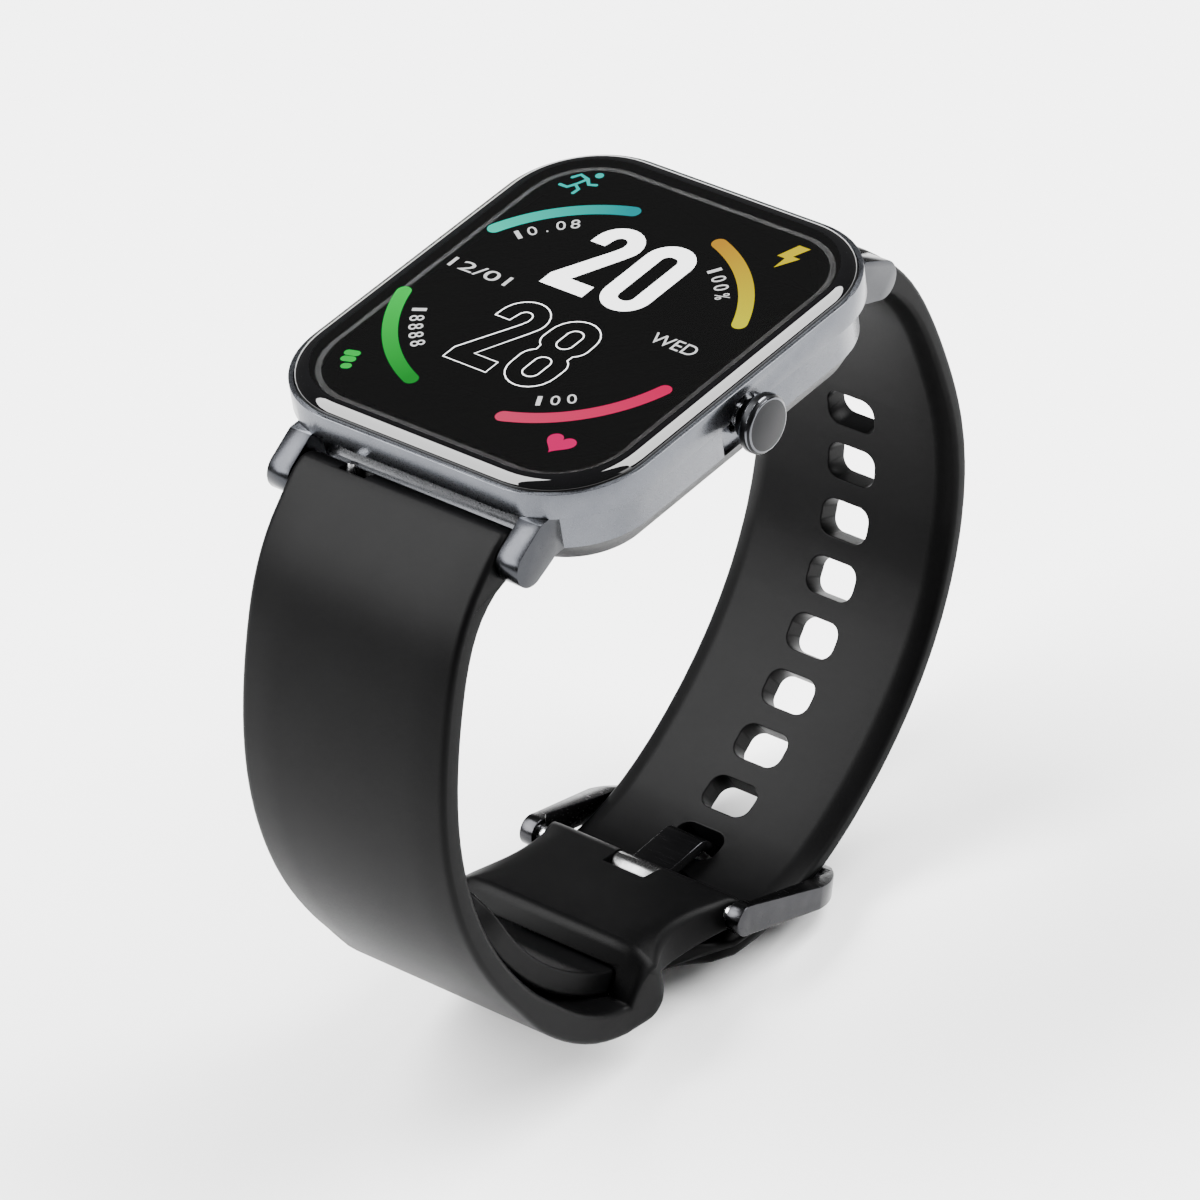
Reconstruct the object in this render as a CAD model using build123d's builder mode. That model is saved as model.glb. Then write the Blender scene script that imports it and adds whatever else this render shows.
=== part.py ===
from build123d import *
import os
from math import atan2, degrees

os.makedirs("parts", exist_ok=True)

# A square-faced smartwatch, buckled into a closed loop.
# Frame: origin at the centre of the rear sensor window, where it touches the wrist.
# +X points to 3 o'clock (the crown), +Y to 12 o'clock, +Z out of the display. Millimetres.


# ---- Driving dimensions ----

# Metal case
case_width = 36.0
case_length = 42.2
case_corner = 8.65
band_top = 9.2  # rim of the metal, where the glass starts
band_step = 6.8  # underside of the wider upper band
band_bottom = 3.2
band_inset = 1.0  # how far the lower band stands back
case_wall = 1.5
glass_seat_z = 8.7
glass_margin = 0.45

# Glass and display
gasket_height = 0.1
glass_top = 10.0
glass_shoulder = 9.25  # where the bevelled edge of the glass starts
glass_bevel = 1.5
panel_bottom = 7.9

# Rear cover and sensor
rear_face = 1.2
rear_taper = 1.4
window_radius = 10.4
window_seat_z = 2.1
rear_floor_z = 2.6

# Lugs and spring bars
bar_y = 22.6
bar_z = 3.9
lug_inner = 11.2
lug_outer = 13.5
bar_radius = 0.9
bar_bore = 0.55
bar_pin_radius = 0.5
bar_pin_end = 12.3
bar_pin_travel = 1.2
knob_x = -6.2
knob_reach = 2.5
knob_radius = 0.45

# Strap
strap_half = 11.1
strap_half_thickness = 1.35
tail_half_thickness = 1.15
eye_radius = 2.1
eye_blend = 0.13  # share of each strap over which it thins from its eye
tail_half = 8.2
slot_half = 8.6
slot_clearance = 0.25
lip_y = -14.9  # round lower end of the tuck slot
lip_z = -48.0
lip_radius = 2.3
knee_y = -13.7  # round upper end of the tuck slot
knee_z = -45.1
knee_radius = 1.3
bridge_half = 10.6
bridge_waist = 10.0
first_hole = 27.3  # distance along the strap from the spring bar
hole_pitch = 5.46
hole_count = 11
hole_width = 5.0
hole_length = 3.3
hole_corner = 1.2

# Buckle
pin_y = -2.9
pin_z = -47.5
pin_radius = 0.75
pin_end = 11.8
running_gap = 0.04
buckle_eye = 1.45
bar_centre_y = 9.2
bar_centre_z = -51.82
bar_half_width = 1.25
bar_near = 0.75
arm_inner = 11.45
arm_outer = 13.2
frame_corner = 5.5
knuckle_inner = 10.85
knuckle_outer = 12.3
frame_half_height = 0.95
knuckle_radius = 1.4
tongue_width = 4.1
tongue_thickness = 1.0
barrel_radius = 1.35
barrel_half = 2.35

# Crown
crown_y = -0.4
crown_z = 6.1
crown_radius = 2.6
crown_face_x = 20.2
crown_back_x = 18.9
crown_neck_radius = 1.75
crown_neck_x = 18.05
stem_radius = 1.05
stem_inner_x = 13.9
bushing_outer = 1.7
bushing_start_x = 15.25
bushing_end_x = 17.4


# ---- Shared outlines ----

inner_width = case_width - 2 * (band_inset + case_wall)
inner_length = case_length - 2 * (band_inset + case_wall)
inner_corner = case_corner - band_inset - case_wall
screw_spots = [(12.7, 15.8), (-12.7, 15.8), (12.7, -15.8), (-12.7, -15.8)]


def save(piece, name):
    """Label a finished piece and write it to its own file."""
    piece.part.label = name
    export_step(piece.part, f"parts/{name}.step")


def side_points(path, half, side, stations=16):
    """Points beside a path, half a thickness away, thickening towards the eye at its start."""
    points = []
    for k in range(stations + 1):
        u = k / stations
        swell = max(0.0, 1 - u / eye_blend) ** 2
        gap = half + (eye_radius - half) * swell
        at = path.position_at(u)
        along = path.tangent_at(u)
        points.append((at.X - side * gap * along.Y, at.Y + side * gap * along.X))
    return points


def crown_plane(x):
    """A plane square to the crown's axis, facing out of the case, at a given x."""
    return Plane(origin=(x, crown_y, crown_z), x_dir=(0, 1, 0), z_dir=(1, 0, 0))


# ---- Metal case ----

with BuildPart() as case_frame:
    with BuildSketch(Plane.XY.offset(band_step)):
        RectangleRounded(case_width, case_length, case_corner)
    extrude(amount=band_top - band_step)
    with BuildSketch(Plane.XY.offset(band_bottom)):
        RectangleRounded(case_width - 2 * band_inset, case_length - 2 * band_inset,
                         case_corner - band_inset)
    extrude(amount=band_step - band_bottom)
    # Four lugs: fingers that slope down from the step and end round the spring bar
    for side in (-1, 1):
        with BuildSketch(Plane.YZ.offset(lug_inner)) as lug_side:
            with BuildLine():
                tip = (side * 22.85, bar_z - 0.05)
                start = (side * 21.1, band_step)
                top = (tip[0] + side * 0.93, tip[1] + 1.48)
                front = (tip[0] + side * 1.52, tip[1] - 0.87)
                under = (tip[0] - side * 0.87, tip[1] - 1.52)
                Line(start, top)
                ThreePointArc(top, front, under)
                ThreePointArc(under, (side * 20.9, 2.75), (side * 19.9, band_bottom))
                Polyline((side * 19.9, band_bottom), (side * 18.7, band_bottom),
                         (side * 18.7, band_step), start)
            make_face()
        extrude(amount=lug_outer - lug_inner)
        with BuildSketch(Plane.YZ.offset(-lug_outer)):
            add(lug_side.sketch_local)
        extrude(amount=lug_outer - lug_inner)
    # Channels that the strap ends turn in
    for side in (-1, 1):
        with BuildSketch(Plane.YZ.offset(-lug_inner)):
            with Locations((side * bar_y, bar_z)):
                Circle(2.8)
        extrude(amount=2 * lug_inner, mode=Mode.SUBTRACT)
        # Blind holes for the spring bar's pins
        with BuildSketch(Plane.YZ.offset(-12.9)):
            with Locations((side * bar_y, bar_z)):
                Circle(bar_bore)
        extrude(amount=25.8, mode=Mode.SUBTRACT)
    # Cavity, then the seat for the glass
    with BuildSketch(Plane.XY.offset(band_bottom)):
        RectangleRounded(inner_width, inner_length, inner_corner)
    extrude(amount=band_top - band_bottom, mode=Mode.SUBTRACT)
    with BuildSketch(Plane.XY.offset(glass_seat_z)):
        RectangleRounded(case_width - 2 * glass_margin, case_length - 2 * glass_margin,
                         case_corner - glass_margin)
    extrude(amount=band_top - glass_seat_z, mode=Mode.SUBTRACT)
    # Corner bosses that the rear screws bite into
    with BuildSketch(Plane.XY.offset(band_bottom)):
        with Locations(*screw_spots):
            Circle(1.55)
    extrude(amount=3.2)
    with BuildSketch(Plane.XY.offset(band_bottom)):
        with Locations(*screw_spots):
            Circle(0.5)
    extrude(amount=2.6, mode=Mode.SUBTRACT)
    # Hole for the crown's bushing, and the notch that its neck sits in, open at the bottom
    with BuildSketch(crown_plane(inner_width / 2 - 1)):
        Circle(bushing_outer)
    extrude(amount=4, mode=Mode.SUBTRACT)
    with BuildSketch(crown_plane(16.6)):
        Circle(2.25)
        with Locations((0, -2.25)):
            Rectangle(4.5, 4.5)
    extrude(amount=3, mode=Mode.SUBTRACT)
save(case_frame, "case_frame")


# ---- Glass and display ----

glass_width = case_width - 2 * glass_margin - 0.1
glass_length = case_length - 2 * glass_margin - 0.1
glass_corner = case_corner - glass_margin - 0.05
glass_bottom = glass_seat_z + gasket_height

with BuildPart() as glass_gasket:
    with BuildSketch(Plane.XY.offset(glass_seat_z)):
        RectangleRounded(glass_width, glass_length, glass_corner)
        RectangleRounded(inner_width + 0.3, inner_length + 0.3, inner_corner, mode=Mode.SUBTRACT)
    extrude(amount=gasket_height)
save(glass_gasket, "glass_gasket")

with BuildPart() as glass_lens:
    with BuildSketch(Plane.XY.offset(glass_bottom)):
        RectangleRounded(glass_width, glass_length, glass_corner)
    extrude(amount=glass_shoulder - glass_bottom)
    with BuildSketch(Plane.XY.offset(glass_shoulder)):
        RectangleRounded(glass_width, glass_length, glass_corner)
    with BuildSketch(Plane.XY.offset(glass_top)):
        RectangleRounded(glass_width - 2 * glass_bevel, glass_length - 2 * glass_bevel,
                         glass_corner - glass_bevel)
    loft()
save(glass_lens, "glass_lens")

with BuildPart() as display_panel:
    with BuildSketch(Plane.XY.offset(panel_bottom)):
        RectangleRounded(inner_width - 0.6, inner_length - 0.6, inner_corner - 0.3)
    extrude(amount=glass_bottom - panel_bottom)
save(display_panel, "display_panel")

# The display's ribbon folds round the end of the inner chassis, down to the main board
with BuildPart() as display_flex:
    with BuildSketch(Plane.YZ.offset(5.2)):
        with BuildLine():
            FilletPolyline((-14.0, 7.84), (-18.2, 7.84), (-18.2, 4.46), (-13.2, 4.46), radius=0.8)
        trace(line_width=0.12)
    extrude(amount=5.4)
save(display_flex, "display_flex")


# ---- Inner chassis, boards, battery ----

with BuildPart() as inner_chassis:
    with BuildSketch(Plane.XY.offset(7.0)):
        RectangleRounded(inner_width - 0.4, inner_length - 1.8, inner_corner - 0.4)
    extrude(amount=0.7)
    # Skirt round the battery bay
    with BuildSketch(Plane.XY.offset(3.8)):
        with Locations((-5.0, 0)):
            RectangleRounded(20.0, 31.5, 1.5)
            RectangleRounded(18.8, 30.3, 1.0, mode=Mode.SUBTRACT)
    extrude(amount=3.2)
    # Clearance for the screw bosses and the crown's inner end
    with BuildSketch(Plane.XY.offset(3.0)):
        with Locations(*screw_spots):
            Circle(1.9)
        with Locations((13.6, crown_y)):
            Rectangle(6.0, 4.6)
    extrude(amount=5.0, mode=Mode.SUBTRACT)
save(inner_chassis, "inner_chassis")

with BuildPart() as battery:
    with BuildSketch(Plane.XY.offset(3.3)):
        with Locations((-5.0, 0)):
            RectangleRounded(18.2, 28.0, 0.8)
    extrude(amount=3.5)
    fillet(battery.edges().filter_by(Axis.Y), radius=0.7)
save(battery, "battery")

board_top = 4.4
with BuildPart() as main_board:
    with BuildSketch(Plane.XY.offset(board_top - 0.8)):
        with Locations((9.9, -3.75)):
            RectangleRounded(9.0, 20.3, 0.8)
    extrude(amount=0.8)
save(main_board, "main_board")

with BuildPart() as shield_can:
    with BuildSketch(Plane.XY.offset(board_top)):
        with Locations((9.4, -7.7)):
            RectangleRounded(7.4, 10.4, 0.6)
    extrude(amount=1.4)
    with BuildSketch(Plane.XY.offset(board_top)):
        with Locations((9.4, -7.7)):
            RectangleRounded(7.0, 10.0, 0.4)
    extrude(amount=1.2, mode=Mode.SUBTRACT)
save(shield_can, "shield_can")

with BuildPart() as vibration_motor:
    with BuildSketch(Plane.XY.offset(3.5)):
        with Locations((9.6, 11.2)):
            Circle(3.9)
    extrude(amount=2.7)
    fillet(vibration_motor.edges().group_by(Axis.Z)[-1], radius=0.3)
save(vibration_motor, "vibration_motor")

with BuildPart() as crown_switch:
    with BuildSketch(crown_plane(11.6)):
        with Locations((0, -0.3)):
            Rectangle(3.6, 2.8)
    extrude(amount=1.4)
    with BuildSketch(crown_plane(13.0)):
        Circle(0.7)
    extrude(amount=0.45)
save(crown_switch, "crown_switch")


# ---- Rear cover and heart-rate sensor ----

with BuildPart() as rear_cover:
    with BuildSketch(Plane.XY.offset(rear_face)):
        RectangleRounded(case_width - 2 * (band_inset + rear_taper),
                         case_length - 2 * (band_inset + rear_taper),
                         case_corner - band_inset - rear_taper)
    with BuildSketch(Plane.XY.offset(band_bottom)):
        RectangleRounded(case_width - 2 * band_inset - 0.1, case_length - 2 * band_inset - 0.1,
                         case_corner - band_inset)
    loft()
    # Hollow inside, leaving a rim under the metal band
    with BuildSketch(Plane.XY.offset(rear_floor_z)):
        RectangleRounded(inner_width - 3.0, inner_length - 3.0, inner_corner - 1.5)
    extrude(amount=2, mode=Mode.SUBTRACT)
    # Window seat and the opening behind it
    with BuildSketch(Plane.XY.offset(rear_face)):
        Circle(window_radius)
    extrude(amount=window_seat_z - rear_face, mode=Mode.SUBTRACT)
    with BuildSketch(Plane.XY.offset(rear_face)):
        Circle(8.8)
    extrude(amount=2, mode=Mode.SUBTRACT)
    # Screw holes with sunk heads, and the two charging contacts' holes
    with BuildSketch(Plane.XY.offset(rear_face)):
        with Locations(*screw_spots):
            Circle(1.15)
    extrude(amount=0.9, mode=Mode.SUBTRACT)
    with BuildSketch(Plane.XY.offset(rear_face)):
        with Locations(*screw_spots):
            Circle(0.62)
    extrude(amount=3, mode=Mode.SUBTRACT)
    with BuildSketch(Plane.XY.offset(rear_face)):
        with Locations((-2.2, -14.2), (2.2, -14.2)):
            Circle(0.9)
    extrude(amount=3, mode=Mode.SUBTRACT)
save(rear_cover, "rear_cover")

with BuildPart() as rear_gasket:
    with BuildSketch(Plane.XY.offset(band_bottom)):
        RectangleRounded(inner_width - 0.1, inner_length - 0.1, inner_corner - 0.05)
        RectangleRounded(inner_width - 1.7, inner_length - 1.7, inner_corner - 0.85,
                         mode=Mode.SUBTRACT)
        with Locations(*screw_spots):
            Circle(1.7, mode=Mode.SUBTRACT)
    extrude(amount=0.5)
save(rear_gasket, "rear_gasket")

with BuildPart() as rear_screws:
    with BuildSketch(Plane.XY.offset(rear_face + 0.1)):
        with Locations(*screw_spots):
            Circle(1.05)
    extrude(amount=0.8)
    with BuildSketch(Plane.XY.offset(rear_face + 0.9)):
        with Locations(*screw_spots):
            Circle(0.48)
    extrude(amount=3.2)
    with BuildSketch(Plane.XY.offset(rear_face + 0.1)):
        with Locations(*screw_spots):
            Rectangle(1.5, 0.3)
            Rectangle(0.3, 1.5)
    extrude(amount=0.4, mode=Mode.SUBTRACT)
save(rear_screws, "rear_screws")

with BuildPart() as charging_pins:
    with BuildSketch(Plane.XY.offset(rear_face - 0.15)):
        with Locations((-2.2, -14.2), (2.2, -14.2)):
            Circle(0.9)
    extrude(amount=rear_floor_z + 0.1 - rear_face)
save(charging_pins, "charging_pins")

with BuildPart() as sensor_window:
    with BuildSketch(Plane.XY):
        Circle(window_radius - 0.05)
    extrude(amount=window_seat_z)
    fillet(sensor_window.edges().group_by(Axis.Z)[0], radius=0.9)
    with BuildSketch(Plane.XY.offset(0.9)):
        Circle(7.2)
    extrude(amount=2, mode=Mode.SUBTRACT)
save(sensor_window, "sensor_window")

with BuildPart() as sensor_board:
    with BuildSketch(Plane.XY.offset(window_seat_z + 0.05)):
        Circle(8.6)
    extrude(amount=0.6)
    # Two light sources and four detectors that face the wrist
    with BuildSketch(Plane.XY.offset(1.2)):
        with GridLocations(3.4, 0, 2, 1):
            Rectangle(1.6, 1.6)
        with PolarLocations(5.0, 4, start_angle=45):
            Rectangle(1.9, 1.9)
    extrude(amount=window_seat_z + 0.05 - 1.2)
save(sensor_board, "sensor_board")


# ---- Crown: a push button on a sealed stem ----

with BuildPart() as crown_cap:
    with BuildSketch(crown_plane(crown_back_x)):
        Circle(crown_radius)
    extrude(amount=crown_face_x - crown_back_x)
    chamfer(crown_cap.edges().filter_by(GeomType.CIRCLE), length=0.3)
    with BuildSketch(crown_plane(crown_neck_x)):
        Circle(crown_neck_radius)
    extrude(amount=crown_back_x - crown_neck_x + 0.1)
    with BuildSketch(crown_plane(crown_neck_x)):
        Circle(stem_radius)
    extrude(amount=1.5, mode=Mode.SUBTRACT)
save(crown_cap, "crown_cap")

with BuildPart() as crown_stem:
    with BuildSketch(crown_plane(stem_inner_x)):
        Circle(stem_radius)
    extrude(amount=crown_neck_x + 1.5 - stem_inner_x)
    # Grooves for the retaining clip and the seal
    for groove_x, groove_width in ((14.95, 0.3), (16.1, 0.45)):
        with BuildSketch(crown_plane(groove_x)):
            Circle(stem_radius)
            Circle(0.8, mode=Mode.SUBTRACT)
        extrude(amount=groove_width, mode=Mode.SUBTRACT)
save(crown_stem, "crown_stem")

with BuildPart() as crown_clip:
    with BuildSketch(crown_plane(14.98)):
        Circle(1.25)
        Circle(0.8, mode=Mode.SUBTRACT)
    extrude(amount=0.24)
save(crown_clip, "crown_clip")

with BuildPart() as crown_seal:
    with BuildSketch(crown_plane(16.12)):
        Circle(1.08)
        Circle(0.8, mode=Mode.SUBTRACT)
    extrude(amount=0.41)
save(crown_seal, "crown_seal")

with BuildPart() as crown_bushing:
    with BuildSketch(crown_plane(bushing_start_x)):
        Circle(bushing_outer)
        Circle(stem_radius + running_gap + 0.01, mode=Mode.SUBTRACT)
    extrude(amount=bushing_end_x - bushing_start_x)
save(crown_bushing, "crown_bushing")


# ---- Spring bars: one at each end of the case, with a quick-release knob ----

for side, end_name in ((-1, "lower"), (1, "upper")):
    centre = (side * bar_y, bar_z)
    # The knob points at the gap between case and strap
    knob_plane = Plane(origin=(knob_x, side * bar_y, bar_z), x_dir=(1, 0, 0),
                       z_dir=(0, -side * 0.38, 0.92))

    with BuildPart() as bar_tube:
        with BuildSketch(Plane.YZ.offset(-10.4)):
            with Locations(centre):
                Circle(bar_radius)
                Circle(bar_bore, mode=Mode.SUBTRACT)
        extrude(amount=20.8)
        # Slot that the knob slides in
        with BuildSketch(knob_plane):
            with Locations((bar_pin_travel / 2, 0)):
                Rectangle(bar_pin_travel + 2 * knob_radius + 0.3, 2 * knob_radius + 0.2)
        extrude(amount=2, mode=Mode.SUBTRACT)
    save(bar_tube, f"{end_name}_bar_tube")

    with BuildPart() as bar_release:
        with BuildSketch(Plane.YZ.offset(-bar_pin_end)):
            with Locations(centre):
                Circle(bar_pin_radius)
        extrude(amount=bar_pin_end + knob_x + 1.2)
        with BuildSketch(knob_plane):
            Circle(knob_radius)
        extrude(amount=knob_reach)
        chamfer(bar_release.edges().group_by(Axis.X)[0], length=0.12)
    save(bar_release, f"{end_name}_bar_release")

    with BuildPart() as bar_tip:
        with BuildSketch(Plane.YZ.offset(7.0)):
            with Locations(centre):
                Circle(bar_pin_radius)
        extrude(amount=bar_pin_end - 7.0)
        chamfer(bar_tip.edges().group_by(Axis.X)[-1], length=0.12)
    save(bar_tip, f"{end_name}_bar_tip")


# ---- Strap centrelines, in the YZ plane, each from its spring bar ----

with BuildLine() as near_line:
    Spline((-bar_y, bar_z), (-27.4, 0.9), (-31.5, -6.6), (-34.2, -19.0), (-33.0, -29.3),
           (-27.9, -39.9), (-21.2, -46.9), (-14.9, -49.0))
near_path = near_line.edges()[0]

with BuildLine() as far_line:
    Spline((bar_y, bar_z), (28.0, -1.0), (31.6, -10.5), (32.7, -19.5), (30.4, -29.5),
           (23.6, -39.6), (14.9, -46.3), (4.9, -50.3), (-3.0, -50.5), (-8.5, -49.2),
           (-14.0, -47.5), (-20.4, -43.85), (-25.15, -38.85), (-28.1, -33.5), (-29.7, -28.0))
far_path = far_line.edges()[0]


# ---- Strap half with the buckle: 6 o'clock side ----

with BuildPart() as strap_buckle_half:
    with BuildSketch(Plane.YZ.offset(-strap_half)):
        with BuildLine():
            outer = Spline(*side_points(near_path, strap_half_thickness, 1))
            inner = Spline(*side_points(near_path, strap_half_thickness, -1))
            Line(outer @ 0, inner @ 0)
            Line(outer @ 1, inner @ 1)
        make_face()
        with Locations((-bar_y, bar_z)):
            Circle(eye_radius)
    extrude(amount=2 * strap_half)
    # Rounded lip at the bottom, rails beside the tuck slot, and the bridge to the buckle pin
    with BuildSketch(Plane.YZ.offset(-strap_half)):
        with BuildLine():
            CenterArc((lip_y, lip_z), lip_radius, 0, 360)
            CenterArc((knee_y, knee_z), knee_radius, 0, 360)
        make_hull()
    extrude(amount=2 * strap_half)
    with BuildSketch(Plane.YZ.offset(-bridge_half)):
        with BuildLine():
            CenterArc((knee_y, knee_z), knee_radius, 0, 360)
            CenterArc((pin_y, pin_z), buckle_eye, 0, 360)
        make_hull()
    extrude(amount=2 * bridge_half)
    with BuildSketch(Plane.XY.offset(pin_z - 4)):
        with BuildLine():
            Spline((strap_half + 0.1, -13.0), (bridge_waist, -8.6), (bridge_half, -2.6))
            Polyline((bridge_half, -2.6), (bridge_half, 0), (14, 0), (14, -13.0), (strap_half + 0.1, -13.0))
        make_face()
        mirror(about=Plane.YZ)
    extrude(amount=8, mode=Mode.SUBTRACT)
    # Tuck slot: the other half's tail passes through it with a little room
    with BuildSketch(Plane.YZ.offset(-slot_half)):
        with BuildLine():
            reach = tail_half_thickness + slot_clearance
            upper = Spline(*side_points(far_path, reach, 1, stations=30))
            lower = Spline(*side_points(far_path, reach, -1, stations=30))
            Line(upper @ 0, lower @ 0)
            Line(upper @ 1, lower @ 1)
        make_face()
        # Only the stretch round the slot is cut
        with Locations((-19.0, -46.0)):
            Rectangle(24.0, 14.0, mode=Mode.INTERSECT)
    extrude(amount=2 * slot_half, mode=Mode.SUBTRACT)
    # Bores for the spring bar and the buckle pin
    with BuildSketch(Plane.YZ.offset(-strap_half)):
        with Locations((-bar_y, bar_z)):
            Circle(bar_radius)
        with Locations((pin_y, pin_z)):
            Circle(pin_radius)
    extrude(amount=2 * strap_half, mode=Mode.SUBTRACT)
    # Notch that the tongue's barrel turns in
    with BuildSketch(Plane.XY.offset(pin_z - 3)):
        with Locations((0, pin_y + 0.6)):
            Rectangle(2 * barrel_half + 0.5, 4.6)
    extrude(amount=6, mode=Mode.SUBTRACT)
    # Slot for the quick-release knob
    with BuildSketch(Plane(origin=(knob_x, -bar_y, bar_z), x_dir=(1, 0, 0), z_dir=(0, 0.38, 0.92))):
        with Locations((bar_pin_travel / 2, 0)):
            Rectangle(bar_pin_travel + 2 * knob_radius + 0.7, 2 * knob_radius + 0.6)
    extrude(amount=4, mode=Mode.SUBTRACT)
save(strap_buckle_half, "strap_buckle_half")


# ---- Strap half with the holes: 12 o'clock side ----

with BuildPart() as strap_hole_half:
    with BuildSketch(Plane.YZ.offset(-strap_half)):
        with BuildLine():
            outer = Spline(*side_points(far_path, tail_half_thickness, 1, stations=30))
            inner = Spline(*side_points(far_path, tail_half_thickness, -1, stations=30))
            Line(outer @ 0, inner @ 0)
            Line(outer @ 1, inner @ 1)
        make_face()
        with Locations((bar_y, bar_z)):
            Circle(eye_radius)
    extrude(amount=2 * strap_half)
    # The tail narrows before the tuck slot
    with BuildSketch(Plane.XY.offset(-56)) as tail_sides:
        with BuildLine():
            Spline((strap_half + 0.1, -7.6), (9.6, -10.0), (tail_half, -12.1),
                   tangents=[(-0.2, -1), (0, -1)])
            Polyline((tail_half, -12.1), (tail_half, -40), (14, -40), (14, -7.6),
                     (strap_half + 0.1, -7.6))
        make_face()
        mirror(about=Plane.YZ)
    extrude(amount=36, mode=Mode.SUBTRACT)
    # Rounded tip
    with BuildSketch(Plane.XZ.offset(24)):
        with Locations((0, -30)):
            Rectangle(20, 8)
        with Locations((0, -34)):
            RectangleRounded(2 * tail_half, 12.6, 5.5, mode=Mode.SUBTRACT)
    extrude(amount=10, mode=Mode.SUBTRACT)
    # Adjustment holes, square to the strap
    for k in range(hole_count):
        u = (first_hole + k * hole_pitch) / far_path.length
        at = far_path.position_at(u)
        along = far_path.tangent_at(u)
        hole_plane = Plane(origin=(0, at.X, at.Y), x_dir=(1, 0, 0), z_dir=(0, -along.Y, along.X))
        with BuildSketch(hole_plane):
            RectangleRounded(hole_width, hole_length, hole_corner)
        extrude(amount=3, both=True, mode=Mode.SUBTRACT)
    # Bore for the spring bar and slot for the quick-release knob
    with BuildSketch(Plane.YZ.offset(-strap_half)):
        with Locations((bar_y, bar_z)):
            Circle(bar_radius)
    extrude(amount=2 * strap_half, mode=Mode.SUBTRACT)
    with BuildSketch(Plane(origin=(knob_x, bar_y, bar_z), x_dir=(1, 0, 0), z_dir=(0, -0.38, 0.92))):
        with Locations((bar_pin_travel / 2, 0)):
            Rectangle(bar_pin_travel + 2 * knob_radius + 0.7, 2 * knob_radius + 0.6)
    extrude(amount=4, mode=Mode.SUBTRACT)
save(strap_hole_half, "strap_hole_half")


# ---- Buckle ----

frame_reach = ((bar_centre_y - pin_y) ** 2 + (bar_centre_z - pin_z) ** 2) ** 0.5
frame_dir = ((bar_centre_y - pin_y) / frame_reach, (bar_centre_z - pin_z) / frame_reach)
# Lies in the buckle's own plane: x across the strap, y from the pin to the far bar
frame_plane = Plane(origin=(0, pin_y, pin_z), x_dir=(1, 0, 0), z_dir=(0, -frame_dir[1], frame_dir[0]))

with BuildPart() as buckle_frame:
    # Arms hug the bridge at the pin, then step out to clear the strap's sides
    frame_end = frame_reach + bar_half_width
    with BuildSketch(frame_plane):
        with Locations((0, (frame_end - 12) / 2)):
            RectangleRounded(2 * arm_outer, frame_end + 12, frame_corner)
        for side in (-1, 1):
            with BuildLine():
                Polyline((side * knuckle_outer, -13), (side * knuckle_outer, 0.5),
                         (side * arm_outer, frame_reach - 4), (side * (arm_outer + 1), frame_reach - 4),
                         (side * (arm_outer + 1), -13), (side * knuckle_outer, -13))
            make_face(mode=Mode.SUBTRACT)
            with BuildLine():
                Polyline((0, -13), (side * knuckle_inner, -13), (side * knuckle_inner, 0.3),
                         (side * arm_inner, 1.0), (side * arm_inner, frame_reach - 1.4),
                         (side * (arm_inner - 0.7), frame_reach - bar_near),
                         (0, frame_reach - bar_near), (0, -13))
            make_face(mode=Mode.SUBTRACT)
    extrude(amount=2, both=True)
    # Seen from the side, each arm runs from a round knuckle to the rounded far bar
    with BuildSketch(Plane.YZ.offset(-arm_outer)):
        with BuildLine():
            CenterArc((pin_y, pin_z), knuckle_radius, 0, 360)
            CenterArc((bar_centre_y, bar_centre_z), frame_half_height, 0, 360)
        make_hull()
    extrude(amount=2 * arm_outer, mode=Mode.INTERSECT)
    # Blind holes for the pin
    with BuildSketch(Plane.YZ.offset(-pin_end - 0.1)):
        with Locations((pin_y, pin_z)):
            Circle(pin_radius + running_gap)
    extrude(amount=2 * pin_end + 0.2, mode=Mode.SUBTRACT)
    # Rest for the tongue's tip on the outer side of the far bar
    with BuildSketch(frame_plane.offset(-3.3)):
        with Locations((0, frame_reach)):
            Rectangle(tongue_width + 0.6, 4)
    extrude(amount=3.0, mode=Mode.SUBTRACT)
save(buckle_frame, "buckle_frame")

with BuildPart() as buckle_pin:
    with BuildSketch(Plane.YZ.offset(-pin_end)):
        with Locations((pin_y, pin_z)):
            Circle(pin_radius)
    extrude(amount=2 * pin_end)
save(buckle_pin, "buckle_pin")

with BuildPart() as buckle_tongue:
    with BuildSketch(Plane.YZ.offset(-barrel_half)):
        with Locations((pin_y, pin_z)):
            Circle(barrel_radius)
    extrude(amount=2 * barrel_half)
    # Plate that runs to the strap hole, drops through it and rests on the far bar
    with BuildSketch(Plane.YZ.offset(-tongue_width / 2)):
        with BuildLine():
            FilletPolyline((pin_y, -48.0), (3.7, -48.0), (6.4, -52.1), (10.6, -53.1), radius=0.9)
        trace(line_width=tongue_thickness)
    extrude(amount=tongue_width)
    with BuildSketch(Plane.YZ.offset(-barrel_half)):
        with Locations((pin_y, pin_z)):
            Circle(pin_radius + running_gap)
    extrude(amount=2 * barrel_half, mode=Mode.SUBTRACT)
save(buckle_tongue, "buckle_tongue")

print("strap halves", round(far_path.length, 1), round(near_path.length, 1))
print("buckle frame slope", round(degrees(atan2(frame_dir[1], frame_dir[0])), 1))
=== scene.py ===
# %% [markdown]
# # A square smartwatch on a closed silicone strap
# The machined parts arrive finished from the CAD model and stay where they are. What Blender adds is
# what the eye reads first: the curved glass, the lit dial seen in it, the soft moulded strap, rounded
# metal edges and the finish of every surface. All sizes are in metres, so `MM` turns the millimetres
# that a watchmaker thinks in into scene units.

# %% Load the frame and keep its box
import math

import bmesh
import bpy
import numpy as np
from mathutils import Matrix, Vector


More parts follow.
